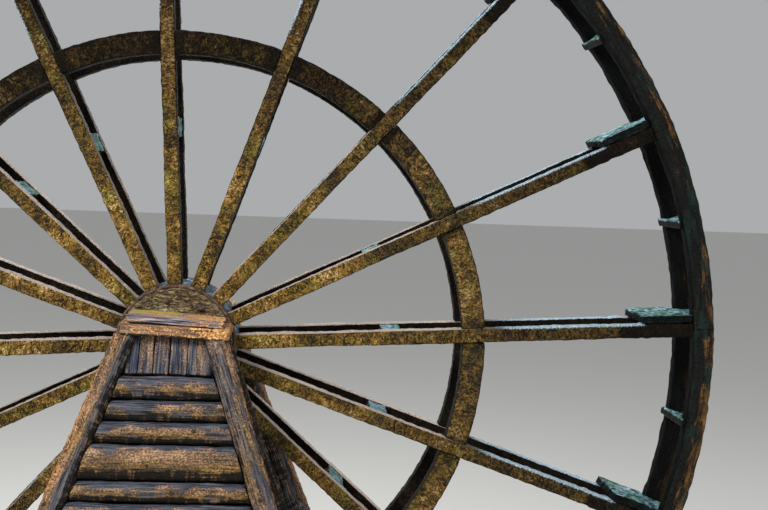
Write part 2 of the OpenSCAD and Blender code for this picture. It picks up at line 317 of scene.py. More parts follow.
def corner_log(side, out, seed, painted_shade):
    """A round log along the line through (side * half_width, -out) at each height, with its ends cut
    level, a swelling girth, dents, and crumbling bark on the side that faces away from the pier. Its
    last argument spreads painted shade over the whole log; the side turned into the pier is painted in shade."""
    foot = np.array([side * half_width(0), -out(0), 0.0])
    head = np.array([side * half_width(cap_underside), -out(cap_underside), cap_underside])
    way = (head - foot) / np.linalg.norm(head - foot)
    across = np.cross(way, [0, 1, 0])
    across /= np.linalg.norm(across)
    axes = np.array([way, across, np.cross(way, across)])
    level = lambda z: lambda a, b: (z - foot[2] - a * axes[1, 2] - b * axes[2, 2]) / axes[0, 2]
    own = stick(level(0.0), level(cap_underside), log_outline, log_spacing)
    normal = outward(own)
    turned_out = normal @ axes[:, 0] * side
    faces_out = ramp(turned_out, -0.05, 0.6) if side < 0 else ramp(turned_out, 0.45, 0.95)
    shaded_side_grey = 0.20 * ramp(-turned_out, -0.2, 0.5) if side < 0 else 0.0
    lumps = rough(own, (0.16, 0.05, 0.05), seed) * 0.5 + rough(own, (0.05, 0.03, 0.03), seed + 1) * 0.5
    crumble = rough(own, (0.022, 0.022, 0.022), seed + 2)
    height = 0.0025 * lumps + 0.0035 * faces_out * crumble + 0.003 * rough(own, (0.7, 0.4, 0.4), seed + 3)
    height = np.where(np.abs(normal[..., 0]) > 0.8, 0.3, 1.0) * height
    draw = np.random.default_rng(seed)
    spots = [(s, a, 0) for s, a in zip(draw.uniform(0.2, 2.7, 4), draw.uniform(-0.03, 0.03, 4))]
    # shade paints shade: all over an upright log, and on the side turned into the pier, which is painted
    # greyer too.
    marks = {
        "grain": own + draw.uniform(0, 9, 3),
        "relief": np.clip(lumps + 0.6 * faces_out * crumble, -1, 1),
        "mark": 0.18 + 0.40 * faces_out + 0.14 * rough(own, (0.3, 0.05, 0.05), seed + 4) - 0.3 * painted_shade,
        "stain": (0.58 if side < 0 else 0.43) - shaded_side_grey + 0.15 * rough(own, (0.7, 0.05, 0.05), seed + 5),
        "warm": ramp(rough(own, (0.5, 0.3, 0.3), seed + 6), -0.3, 1.5),
        "shade": painted_shade + (0.85 if side < 0 else 0.45) * ramp(-turned_out, 0.05, 0.8),
        "knot": knots_near(own, spots)}
    return placed(own + normal * height[..., None], foot, axes), marks, False


def on_pier(part, mirror):
    """A front pier's part, standing flat on the ground, or its mirror image behind the wheel with its
    faces turned back outwards."""
    grid, marks, loop = part
    grid = np.maximum(grid, [-np.inf, -np.inf, 0])
    if mirror > 0:
        return grid, marks, loop
    grid = (grid * [1, -1, 1])[:, ::-1]
    return grid, {key: value[:, ::-1] for key, value in marks.items()}, loop


log_lines = {"raking": (raking_out, 0.0), "upright": (lambda z: upright_out, upright_painted_shade)}
for pier, mirror in piers.items():
    seed = 100 if mirror > 0 else 107
    for kind, (out, painted_shade) in log_lines.items():
        for side_name, side in sides.items():
            log = corner_log(side, out, seed, painted_shade)
            name = f"{pier}_{kind}_log_{side_name}"
            piece(f"{name}_timber", [on_pier(log, mirror)], corner_log_timber, "piers", "corner_logs", name)
            seed += 20

# Half-logs. Split logs with their bark side out clad all four sides of each pier, round face
# outwards, each cut to fit between two corner logs and nailed to them. Rain has greyed their upper
# faces to slate and left orange-tan wood and bark below. Painted shade darkens each row's lower part
# near to black and its top edge a little, which with the gaps makes dark bands between the rows. The
# rows on the pier's two sides are painted nearly black with shade. Rows that are seen close get more
# points along them.
log_split = 0.003
log_back = 0.030
# Painted shade, near black, spread over the rows on the pier's two sides.
side_painted_shade = 0.75
saddle_gap = 0.002
row_count = 25
row_heights = np.tile([96, 88, 90, 142, 84, 104], 5)[:row_count]
row_top = axle_height - 0.090
row_edges = row_top * (1 - np.concatenate([[0], np.cumsum(row_heights)]) / row_heights.sum())
upper_edges = np.linspace(row_top, cap_underside, 3)
arc_points = 13
back_points = 1
seen_above = 1.2
fine_spacing = 0.013
lower_spacing = 0.024
side_spacing = 0.030
wheel_side_spacing = 0.042
# Single rows with more or less bark, and one with a knot, by seed: the front pier's top row is 300.
row_bark = {300: -0.10, 301: -0.04, 302: -0.07, 303: 0.12, 304: -0.04}
row_knots = {305: [(0.075, 0.0, 0.0)]}


def half_log(height, start, stop, origin, axes, seed, spacing, special=(), flaky=0.0, painted_shade=0.0):
    """A half-round section of the given height carried along a row, its flat back towards the pier's
    inside. Its girth swells and its edges wave. special lists knots besides those drawn, flaky adds
    orange stain, and the last argument spreads painted shade over the whole row."""
    arc = np.linspace(0, np.pi, arc_points)
    flat = np.linspace(-1, 1, back_points + 2)[1:-1]
    across = height / 2 * np.concatenate([np.cos(arc), flat])
    through = np.concatenate([height / 2 * np.sin(arc) ** 0.8, 0 * flat]) - log_back
    outline = np.stack([across, through], axis=-1)
    own = stick(start, stop, outline, spacing)
    normal = outward(own)
    front = ramp(own[..., 2] + log_back, 0.0, 0.02)
    lumps = 0.5 * rough(own, (0.19, 0.05, 0.05), seed) + 0.5 * rough(own, (0.07, 0.03, 0.03), seed + 1)
    wave = rough(own * [1, 0.2, 0.2], (0.32, 1, 1), seed + 2)
    rise = (0.0032 * lumps + 0.0035 * wave) * front - 0.0015
    draw = np.random.default_rng(seed)
    along = draw.uniform(own[..., 0].min(), own[..., 0].max(), 2)
    spots = [(s, a, 0.0) for s, a in zip(along, draw.uniform(-0.4, 0.4, 2) * height)]
    spots = [spot for spot in spots if draw.uniform() < 0.35] + list(special)
    # The upper face the rain has greyed looks up and out; painted shade darkens the top edge and the lower
    # face.
    level = own[..., 1] / height
    top_mask = ramp(level + 0.10 * rough(own, (0.09, 0.2, 0.2), seed + 5), 0.14, 0.30)
    marks = {
        "grain": own + draw.uniform(0, 9, 3),
        "relief": np.clip(lumps, -1, 1),
        "mark": 0.20 + 0.6 * max(-flaky, 0) * ramp(level, 0.0, 0.3)
        + 0.10 * rough(own, (0.2, 0.08, 0.08), seed + 4),
        "stain": 0.60 + flaky - 0.42 * top_mask + 0.15 * rough(own, (0.3, 0.08, 0.08), seed + 6),
        "warm": ramp(-level, -0.15, 0.25),
        "shade": painted_shade + 0.2 * ramp(level, 0.45, 0.5) + 0.95 * ramp(-level, 0.14, 0.44),
        "knot": knots_near(own, spots)}
    return placed(own + normal * rise[..., None], origin, axes), marks, False


def saddle(b, lean):
    """How far a corner log of radius log_radius reaches from its axis, at depth b, along a row that
    crosses it under the given lean. Past the axis the row's end is cut square, clear of the log."""
    return np.sqrt(log_radius ** 2 - np.minimum(b, 0) ** 2) / math.cos(lean) + saddle_gap


def face_row(top, low, seed, spacing):
    """A row on the pier's sloping face, between its raking logs."""
    mid = (top + low) / 2
    height = (top - low) / math.cos(rake) - log_split
    narrowing = math.cos(rake) * math.tan(side_lean)
    lean = math.atan(narrowing)
    end = lambda a, b: half_width(mid) - a * narrowing - saddle(b, lean)
    axes = np.array([[1, 0, 0], [0, math.sin(rake), math.cos(rake)], [0, -math.cos(rake), math.sin(rake)]])
    return half_log(height, lambda a, b: -end(a, b), end, (0, -raking_out(mid), mid), axes, seed,
                    spacing, row_knots.get(seed, []), row_bark.get(seed, 0.0))


def side_row(side, top, low, seed):
    """A row on a pier's leaning side, between its upright and its raking log."""
    mid = (top + low) / 2
    height = (top - low) / math.cos(side_lean) - log_split
    narrowing = math.cos(side_lean) * math.tan(rake)
    near = lambda a, b: upright_out + saddle(b, 0)
    far = lambda a, b: raking_out(mid) - a * narrowing - saddle(b, math.atan(narrowing))
    axes = np.array([[0, side, 0], [-side * math.sin(side_lean), 0, math.cos(side_lean)],
                     [side * math.cos(side_lean), 0, math.sin(side_lean)]])
    start, stop = (near, far) if side < 0 else (lambda a, b: -far(a, b), lambda a, b: -near(a, b))
    return half_log(height, start, stop, (side * half_width(mid), 0, mid), axes, seed, side_spacing,
                    painted_shade=side_painted_shade)


def wheel_side_row(top, low, seed):
    """A row on the pier's upright back, between its upright logs, round face towards the wheel."""
    mid = (top + low) / 2
    end = lambda a, b: half_width(mid) - a * math.tan(side_lean) - saddle(b, side_lean)
    axes = np.array([[-1, 0, 0], [0, 0, 1], [0, 1, 0]])
    return half_log(top - low - log_split, lambda a, b: -end(a, b), end, (0, -upright_out, mid), axes, seed,
                    wheel_side_spacing)


half_log_timber = weathered_log(
    "split_half_log",
    [(0.32, "#15151a"), (0.44, "#30323c"), (0.55, "#4d4f5a"), (0.7, "#76736f")], tan_and_ochre,
    [(0.32, "#3a2b1e"), (0.45, "#7d5d3e"), (0.57, "#ab8258"), (0.7, "#dcb184")], "#0d0c0a",
    (11, 15, 15), 1.4)
rows = list(zip(row_edges[:-1], row_edges[1:]))
side_rows = list(zip(upper_edges[:0:-1], upper_edges[-2::-1])) + rows
for pier, mirror in piers.items():
    step = 1000 if mirror < 0 else 0
    panels = {
        "face": [face_row(top, low, 300 + n + step,
                          fine_spacing if mirror > 0 and top > seen_above else lower_spacing)
                 for n, (top, low) in enumerate(rows)],
        "left": [side_row(-1, top, low, 400 + n + step) for n, (top, low) in enumerate(side_rows)],
        "right": [side_row(1, top, low, 500 + n + step) for n, (top, low) in enumerate(side_rows)],
        "wheel_side": [wheel_side_row(top, low, 600 + n + step) for n, (top, low) in enumerate(rows)]}
    for panel, logs in panels.items():
        name = f"{pier}_{panel}_half_logs"
        piece(f"{name}_timber", [on_pier(part, mirror) for part in logs], half_log_timber,
              "piers", "half_logs", name)

# Upright boards. Five rough boards close the sloping face between the top half-log and the cap. They
# are sawn softwood, dark with damp, with orange streaks down the grain, nailed to a rail behind.
board_thickness = 0.030
board_joints = [-0.1856, -0.131, -0.066, 0.0025, 0.079, 0.1856]
board_gap = 0.0015
board_corner = 0.002
board_spacing = 0.010
board_tints = [0.36, 0.43, 0.43, 0.47, 0.40]
board_timber = weathered_log(
    "upright_board",
    [(0.32, "#101218"), (0.45, "#2c3142"), (0.56, "#4f525c"), (0.7, "#7c7468")], tan_and_ochre,
    [(0.32, "#4a3420"), (0.45, "#85603c"), (0.57, "#ac7e50"), (0.7, "#cc9f6b")], "#0b0a0b", (3, 26, 26))


def rectangle(width, depth, corner, per_side):
    """A rectangle's outline with rounded corners, its points closer together towards the corners.
    Each point outside the corner's inner box is drawn onto the circle round that box."""
    u = np.linspace(-1, 1, per_side, endpoint=False)
    u = 1.5 * u - 0.5 * u ** 3
    one = np.ones(per_side)
    ends = np.array([width, depth]) / 2
    edges = [np.stack(pair, axis=-1) for pair in ((one, u), (-u, one), (-one, -u), (u, -one))]
    points = np.concatenate(edges) * ends
    inner = np.clip(points, corner - ends, ends - corner)
    reach = points - inner
    length = np.linalg.norm(reach, axis=-1, keepdims=True)
    return inner + reach * np.minimum(1, corner / np.maximum(length, 1e-9))


def plank(outline, start, stop, origin, axes, seed, spacing, lift, mark, stain, shade, edge=end_round):
    """A sawn or hewn piece: the outline carried straight, with its surface lifted by lift and its
    colour marks given, each a function of its own points and seed."""
    own = stick(start, stop, outline, spacing, edge)
    normal = outward(own)
    height = lift(own, seed)
    draw = np.random.default_rng(seed)
    marks = {"grain": own + draw.uniform(0, 9, 3), "relief": np.clip(height / np.abs(height).max(), -1, 1),
             "mark": mark(own, seed), "stain": stain(own, seed), "shade": shade(own, seed),
             "warm": 0 * height, "knot": knots_near(own, [])}
    return placed(own + normal * height[..., None], origin, axes), marks, False


def board_lift(own, seed):
    """Saw marks 200 mm long and 20 mm apart, with splinters of 40 mm on them."""
    return (0.0014 * rough(own, (0.2, 0.02, 0.02), seed)
            + 0.0008 * rough(own, (0.04, 0.02, 0.02), seed + 1) - 0.001)


def upright_board(n, seed):
    """The board between joints n and n + 1. Its foot is cut in a slight wave and its head level under the
    cap. Painted shade darkens it under the cap and at its foot, and it is dark along its joints."""
    width = board_joints[n + 1] - board_joints[n] - board_gap
    half = board_thickness / 2
    foot_cut = lambda a, b: 0.004 + 0.002 * np.sin(37 * a + n)
    head_cut = lambda a, b: (cap_underside - row_top + (b + half) * math.sin(rake)) / math.cos(rake)
    origin = ((board_joints[n] + board_joints[n + 1]) / 2, -raking_out(row_top) + half * math.cos(rake),
              row_top - half * math.sin(rake))
    return plank(
        rectangle(width, board_thickness, board_corner, 6), foot_cut, head_cut, origin, upslope, seed,
        board_spacing, board_lift,
        lambda own, seed: 0.16 + 0.08 * rough(own, (0.2, 0.02, 0.02), seed + 3),
        lambda own, seed: board_tints[n] + 0.16 * rough(own, (0.3, 0.025, 0.025), seed + 2),
        lambda own, seed: 0.5 * ramp(own[..., 0], 0.165, 0.185) + 0.4 * ramp(-own[..., 0], -0.012, 0.0)
        + 0.6 * ramp(np.abs(own[..., 1]), width / 2 - 0.004, width / 2), board_corner)


upslope = np.array([[0, math.sin(rake), math.cos(rake)], [1, 0, 0], [0, math.cos(rake), -math.sin(rake)]])
for pier, mirror in piers.items():
    boards = [on_pier(upright_board(n, 700 + n + (20 if mirror < 0 else 0)), mirror)
              for n in range(len(board_tints))]
    name = f"{pier}_upright_boards"
    piece(f"{name}_timber", boards, board_timber, "piers", "half_logs", name)

# Cap planks. Two thick slabs lie flat on the corner logs and tie them, the upper one set back. They
# are waney softwood with the bark breaking off in orange crumbs, worst at the right end, and moss has
# taken hold along the top edge. They are spiked down through both and have sunk to the right.
cap_corner = 0.004
cap_spacing = 0.008
cap_tilt = 0.020
top_sag = (0.009, 0.014)
moss_cover = 0.84


def cap_lift(own, seed):
    """Hewn waves 120 and 500 mm long under crumbs of bark of 24 mm, higher towards the right end."""
    crumb = ramp(own[..., 0], 0.02, 0.19)
    return (0.0022 * rough(own, (0.12, 0.03, 0.03), seed)
            + (0.0008 + 0.0036 * crumb) * rough(own, (0.024, 0.02, 0.02), seed + 1)
            + 0.002 * rough(own, (0.5, 0.3, 0.3), seed + 2))


def cap_timber(name, slate, stain, flake):
    """Cap plank timber: weathered log timber with yellow-green moss where the attribute moss is high."""
    material = weathered_log(name, slate, stain, flake, "#120e0b", (9, 22, 22), 1.9)
    tree, shader = material.node_tree, material.node_tree.nodes["Principled BSDF"]
    tone = shader.inputs["Base Color"].links[0].from_socket
    grain = add(tree, "Attribute", {"attribute_name": "grain"}, out="Vector")
    moss = add(tree, "Attribute", {"attribute_name": "moss"}, out="Fac")
    tufts = add(tree, "TexNoise", {}, {"Vector": grain, "Scale": 55.0, "Detail": 4.0})
    cover = add(tree, "Math", {"operation": "ADD"}, {0: moss, 1: tufts})
    cover = add(tree, "MapRange", smooth, {"Value": cover, "From Min": 1.0, "From Max": 1.25})
    green = add(tree, "ValToRGB", {"stops": [
        (0.35, "#7d6b28"), (0.5, "#b3a24e"), (0.62, "#8f9c3e")]}, {"Fac": tufts})
    give(tree, shader, {"Base Color": add(tree, "Mix", in_colour, {0: cover, 6: tone, 7: green}, 2)})
    return material


bright_stain = [(0.1, "#513621"), (0.4, "#8f6a48"), (0.62, "#b98d68"), (0.9, "#ddb592"),
                (0.1, "#4a3218"), (0.4, "#855f38"), (0.62, "#ac8150"), (0.9, "#d0a878")]
# The palest flake stops are the bark crumbs brightened into painted highlights.
cap_timbers = {
    "lower": cap_timber(
        "lower_cap_plank", [(0.32, "#2b201a"), (0.45, "#5c4a3e"), (0.56, "#836a56"), (0.7, "#ab8e74")],
        bright_stain, [(0.32, "#5a3a1f"), (0.44, "#a06f41"), (0.56, "#cf985e"), (0.7, "#f6c890")]),
    "upper": cap_timber(
        "upper_cap_plank", [(0.34, "#18171f"), (0.44, "#4c4b59"), (0.54, "#87818a"), (0.66, "#cbbfba")],
        bright_stain, [(0.32, "#5e4022"), (0.44, "#a87848"), (0.56, "#d6a06a"), (0.7, "#fad09c")])}


def cap_plank(level, bias, seed):
    """The lower or upper slab in its CAD box, with wavy ends, lowered towards the right in a straight
    line. bias is its share of bark, which grows to the right and on top, set back from the front edge.
    The upper one sags too, and its top is mossy towards the back, but not at the right end."""
    low, high = (np.array(corner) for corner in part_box(f"front_{level}_cap_plank"))
    size, centre = high - low, (low + high) / 2
    upper = level == "upper"
    outline = rectangle(size[1] - 0.004, size[2] - 0.003, cap_corner, 9)
    right_end = lambda a, b: size[0] / 2 - 0.003 + 0.003 * np.sin(61 * a + 90 * b)
    set_back = lambda own: (ramp(own[..., 2], 0.008, 0.018)
                            * ramp(own[..., 1], 0.02 - size[1] / 2, 0.06 - size[1] / 2))
    # The last mark given is painted shade, near black, along the bottom 11 mm of each plank.
    grid, marks, loop = plank(
        outline, lambda a, b: -right_end(a, b), right_end, centre, np.eye(3), seed, cap_spacing, cap_lift,
        lambda own, seed: bias + 0.24 * ramp(own[..., 0], -0.02, 0.16) + 0.16 * set_back(own)
        + 0.10 * rough(own, (0.08, 0.05, 0.03), seed + 3),
        lambda own, seed: bias + 0.12 + 0.2 * set_back(own) + 0.1 * rough(own, (0.2, 0.05, 0.04), seed + 4),
        lambda own, seed: 1.1 * ramp(-own[..., 2], size[2] / 2 - 0.011, size[2] / 2 - 0.004))
    rise = (grid[..., 2] - centre[2]) / size[2]
    back = ramp(grid[..., 1], high[1] - 0.20, high[1] - 0.05)
    marks["moss"] = (moss_cover if upper else 0.0) * ramp(rise, 0.25, 0.5) * back
    marks["moss"] = marks["moss"] * ramp(0.14 - grid[..., 0], 0.0, 0.16)
    share = (grid[..., 0] - low[0]) / size[0]
    sag = (top_sag[0] + (top_sag[1] - top_sag[0]) * share) * np.clip(rise + 0.5, 0, 1) * upper
    grid[..., 2] -= cap_tilt * share + sag
    return grid, marks, loop


for pier, mirror in piers.items():
    for level, bias, seed in (("lower", 0.40, 800), ("upper", 0.24, 810)):
        name = f"{pier}_{level}_cap_plank"
        part = on_pier(cap_plank(level, bias, seed + (3 if mirror < 0 else 0)), mirror)
        piece(f"{name}_timber", [part], cap_timbers[level], "piers", "cap_planks", name)

# Bearing beams and keepers. Sawn blocks between the upright logs, one under and one over the shaft,
# hidden behind the boards and cap. They keep their CAD shape and get sawn, greasy softwood.
bearing_timber, tree, shader = blank("greased_bearing_timber")
place = add(tree, "TexCoord", out="Object")
saw_way = add(tree, "Mapping", {}, {"Vector": place, "Scale": (9, 160, 160)})
saw_marks = add(tree, "TexNoise", {}, {"Vector": saw_way, "Scale": 1.0, "Detail": 4.0})
sawn = add(tree, "ValToRGB", {"stops": [
    (0.3, "#3a2c1e"), (0.52, "#66503a"), (0.7, "#8a6d4e")]}, {"Fac": saw_marks})
bump = add(tree, "Bump", {}, {"Height": saw_marks, "Strength": 0.6, "Distance": 0.002})
give(tree, shader, {"Base Color": sawn, "Roughness": 0.6, "Normal": bump})


def coat(node, material):
    """Gives a node that keeps its CAD shape its material."""
    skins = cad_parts[node].data.materials
    skins.clear()
    skins.append(material)


for pier in piers:
    for kind in ("beam", "keeper"):
        coat(f"{pier}_bearing_{kind}", bearing_timber)

# Shaft. A round forged iron bar, 70 mm thick, turning in the greased seats. It keeps its CAD shape and
# gets brown rust with darker scale.


def rusty_iron(name, space):
    """Forged iron under rust: red-brown bloom in 20 mm clouds over near-black scale, pitted at 3 mm."""
    material, tree, shader = blank(name)
    if space == "grain":
        place = add(tree, "Attribute", {"attribute_name": "grain"}, out="Vector")
    else:
        place = add(tree, "TexCoord", out="Object")
    clouds = add(tree, "TexNoise", {}, {"Vector": place, "Scale": 50.0, "Detail": 5.0, "Roughness": 0.65})
    pits = add(tree, "TexNoise", {}, {"Vector": place, "Scale": 330.0, "Detail": 2.0})
    rust = add(tree, "ValToRGB", {"stops": [
        (0.34, "#1a110c"), (0.46, "#3c291d"), (0.57, "#5b4132"), (0.7, "#86664f")]}, {"Fac": clouds})
    wear = add(tree, "MapRange", {}, {"Value": clouds, "To Min": 0.38, "To Max": 0.8})
    height = add(tree, "Math", times_plus, {0: pits, 1: 0.4, 2: clouds})
    bump = add(tree, "Bump", {}, {"Height": height, "Strength": 0.8, "Distance": 0.003})
    give(tree, shader, {"Base Color": rust, "Metallic": 0.25, "Roughness": wear, "Normal": bump})
    return material


coat("shaft", rusty_iron("rusty_shaft_iron", "object"))

# Hub drum. One thick round of hardwood bored for the shaft, with a socket for each spoke bar. Its
# ends are rough end grain, dark and wavy with slime, with painted highlights on the palest grain, and its rim
# is wet brown with blue-green algae under near-white painted highlights.
drum_low, drum_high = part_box("hub_drum")
drum_radius = (drum_high.x - drum_low.x) / 2
drum_half = drum_high.y
hoop_low, hoop_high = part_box("front_hub_hoop")
hoop_width = hoop_high.y - hoop_low.y
hoop_thickness = 0.0139
drum_columns = 300
end_rings = 34
band_rings = 22
axle = np.array([0.0, 0.0, axle_height])


def wheel_place(angle, radius, y):
    """Points of the wheel from their clockwise angle from upright, distance from the axle and y."""
    return np.stack([axle[0] + radius * np.sin(angle), y + 0 * angle,
                     axle[2] + radius * np.cos(angle)], axis=-1)


def drum(profile, seed):
    """The profile of (y, radius) pairs carried round the axle, its two ends raised in waves of end grain
    26 mm apart and its rim in lumps. Gives its points, own coordinates and heights."""
    angle = np.linspace(0, 2 * np.pi, drum_columns, endpoint=False)[None, :]
    y, radius = profile[:, :1], profile[:, 1:]
    grid = wheel_place(angle + 0 * y, radius + 0 * angle, y + 0 * angle)
    normal = outward(grid)
    own = grid - axle
    end = ramp(np.abs(normal[..., 1]), 0.6, 0.9)
    waves = np.sin(own[..., 2] * 2 * np.pi / 0.026 + 2.4 * rough(own, (0.11, 0.2, 0.05), seed))
    end_grain = (0.0009 * waves + 0.0014 * rough(own, (0.07, 0.3, 0.025), seed + 1)
                 + 0.002 * rough(own, (0.15, 0.3, 0.12), seed + 2) - 0.002)
    band = 0.0015 * rough(own, (0.03, 0.09, 0.03), seed + 3) - 0.001
    height = end * end_grain + (1 - end) * band
    return grid + normal * height[..., None], own, height


face_radii = np.linspace(0.03, drum_radius - hoop_thickness - 0.004, end_rings)
step_in = drum_radius - hoop_thickness - 0.0005
band_edge = drum_half - hoop_width - 0.001
half_profile = np.array([(drum_half, r) for r in face_radii] + [
    (drum_half - 0.003, step_in), (band_edge + 0.002, step_in), (band_edge, drum_radius - 0.004),
    (band_edge - 0.004, drum_radius)])
band_rows = np.stack([np.linspace(-band_edge + 0.012, band_edge - 0.012, band_rings),
                      np.full(band_rings, drum_radius)], axis=-1)
drum_profile = np.concatenate([half_profile * [-1, 1], band_rows, half_profile[::-1]])
drum_grid, drum_own, drum_height = drum(drum_profile, 900)
hub_timber, tree, shader = blank("hub_end_grain")
grain = add(tree, "Attribute", {"attribute_name": "grain"}, out="Vector")
relief = add(tree, "Attribute", {"attribute_name": "relief"}, out="Fac")
band = add(tree, "Attribute", {"attribute_name": "mark"}, out="Fac")
wave_way = add(tree, "Mapping", {}, {"Vector": grain, "Scale": (42, 42, 150)})
lumps = add(tree, "TexNoise", {}, {
    "Vector": wave_way, "Scale": 1.0, "Detail": 5.0, "Roughness": 0.62, "Distortion": 1.2})
level = add(tree, "Math", times_plus, {0: relief, 1: 0.06, 2: lumps})
# The palest end-grain stop is partly a painted highlight on the wet grain.
end_tone = add(tree, "ValToRGB", {"stops": [
    (0.35, "#0f0a05"), (0.44, "#4e3d27"), (0.53, "#86714c"), (0.63, "#cab58e")]}, {"Fac": level})
algae = add(tree, "TexNoise", {}, {"Vector": grain, "Scale": 26.0, "Detail": 3.0})
# The near-white stop on the algae is a painted highlight.
band_tone = add(tree, "ValToRGB", {"stops": [
    (0.36, "#10191d"), (0.46, "#1c3a4a"), (0.55, "#3c6c86"), (0.66, "#c0d6de")]}, {"Fac": algae})
tone = add(tree, "Mix", in_colour, {0: band, 6: end_tone, 7: band_tone}, 2)
bump = add(tree, "Bump", {}, {"Height": lumps, "Strength": 1.0, "Distance": 0.02})
give(tree, shader, {"Base Color": tone, "Roughness": 0.42, "Specular IOR Level": 0.4, "Normal": bump})
drum_marks = {"grain": drum_own, "relief": np.clip(drum_height / 0.004, -1, 1),
              "mark": ramp(band_edge - np.abs(drum_own[..., 1]), 0.0, 0.008)}
piece("hub_drum_timber", [(drum_grid, drum_marks, False)], hub_timber, "wheel", "hub_timber", "hub_drum")

# Hub hoops. A forged iron hoop is shrunk on at each end of the drum to keep it from splitting. It is
# hammered, rusted red-brown, and a little out of true.
hoop_columns = 220
hoop_iron = rusty_iron("rusty_hoop_iron", "grain")


def hoop(y_low, y_high, seed):
    """A flat bar's rounded section (y, radius) carried round the drum and joined to itself."""
    section = rectangle(y_high - y_low, hoop_thickness - 0.0004, 0.003, 4)
    angle = np.linspace(0, 2 * np.pi, hoop_columns, endpoint=False)[:, None]
    y = section[:, 0][None, :] + (y_low + y_high) / 2
    radius = section[:, 1][None, :] + drum_radius - hoop_thickness / 2
    grid = wheel_place(angle + 0 * y, radius + 0 * angle, y + 0 * angle)
    grid = grid + outward(grid, True) * (0.0012 * rough(grid, (0.03, 0.02, 0.03), seed) - 0.0008)[..., None]
    return grid, {"grain": grid}, True


front_hoop, rear_hoop = hoop(hoop_low.y, hoop_high.y, 950), hoop(-hoop_high.y, -hoop_low.y, 951)
piece("front_hub_hoop_iron", [front_hoop], hoop_iron, "wheel", "hoop_iron", "front_hub_hoop")
piece("rear_hub_hoop_iron", [rear_hoop], hoop_iron, "wheel", "hoop_iron", "rear_hub_hoop")

# Hub bolts. Eight long bolts clamp the drum's layers from end to end, each with a domed, rusted head on
# a square iron washer at both ends of the drum.
bolt_count = 8
bolt_circle = 0.203
bolt_points = 16
first_bolt = math.radians(-12)
washer_half = 0.016
washer_height = 0.005
head_radius = 0.012
head_height = 0.012


def bolt(centre, way, seed):
    """A square washer with rounded corners under a domed head: rings drawn in from the washer's edge
    to the dome's top, along the direction way, with the dome's height falling as a circle's."""
    way = np.asarray(way, float)
    side = np.cross(way, [0.3, 0.1, 0.9])
    side /= np.linalg.norm(side)
    axes = np.array([way, side, np.cross(way, side)])
    turn = np.linspace(0, 2 * np.pi, bolt_points, endpoint=False)
    ring = np.stack([np.cos(turn), np.sin(turn)], axis=-1)
    square = washer_half * (ring / np.maximum(np.abs(ring).max(axis=1, keepdims=True), 0.78))
    dome = np.linspace(0, 0.45 * np.pi, 5)
    rings = [(-0.003, square), (washer_height * 0.7, square), (washer_height, 0.9 * square),
             (washer_height, head_radius * 1.02 * ring)]
    rings += [(washer_height + head_height * math.sin(t), head_radius * math.cos(t) * ring) for t in dome]
    own = np.stack([np.concatenate([np.full((bolt_points, 1), s), r], axis=1) for s, r in rings])
    own = own + 0.0006 * np.random.default_rng(seed).normal(size=own.shape)
    grid = placed(own, centre, axes)
    return grid, {"grain": grid}, False


hub_bolts = []
for n in range(bolt_count):
    turn = first_bolt + n * 2 * math.pi / bolt_count
    x, z = bolt_circle * math.sin(turn), axle_height + bolt_circle * math.cos(turn)
    hub_bolts.append(bolt((x, -drum_half, z), (0, -1, 0), 960 + n))
    hub_bolts.append(bolt((x, drum_half, z), (0, 1, 0), 970 + n))
piece("hub_bolts", hub_bolts, hoop_iron, "wheel", "hoop_iron")

# Spokes. Sixteen double spokes, each a front and a rear bar of squared timber, 66 by 75 mm, driven into
# the drum's sockets. River slime covers them in wet ochre ripples and lumps, darker towards the rim.
# A pale pinkish painted sheen lies on the sides that look up, a blue-white painted highlight on the
# anticlockwise edge towards the rim, and painted shade between the bars, on the sides that look down
# and at the drum.
spoke_count = 16
spoke_turn = math.radians(-3.1)
spoke_width = 0.066
spoke_depth = 0.075
socket_radius = 0.207
rim_inner = wheel_radius - 0.100
spoke_corner = 0.006
spoke_spacing = 0.014
bar_offset = abs(rim_low.y + rim_high.y) / 2


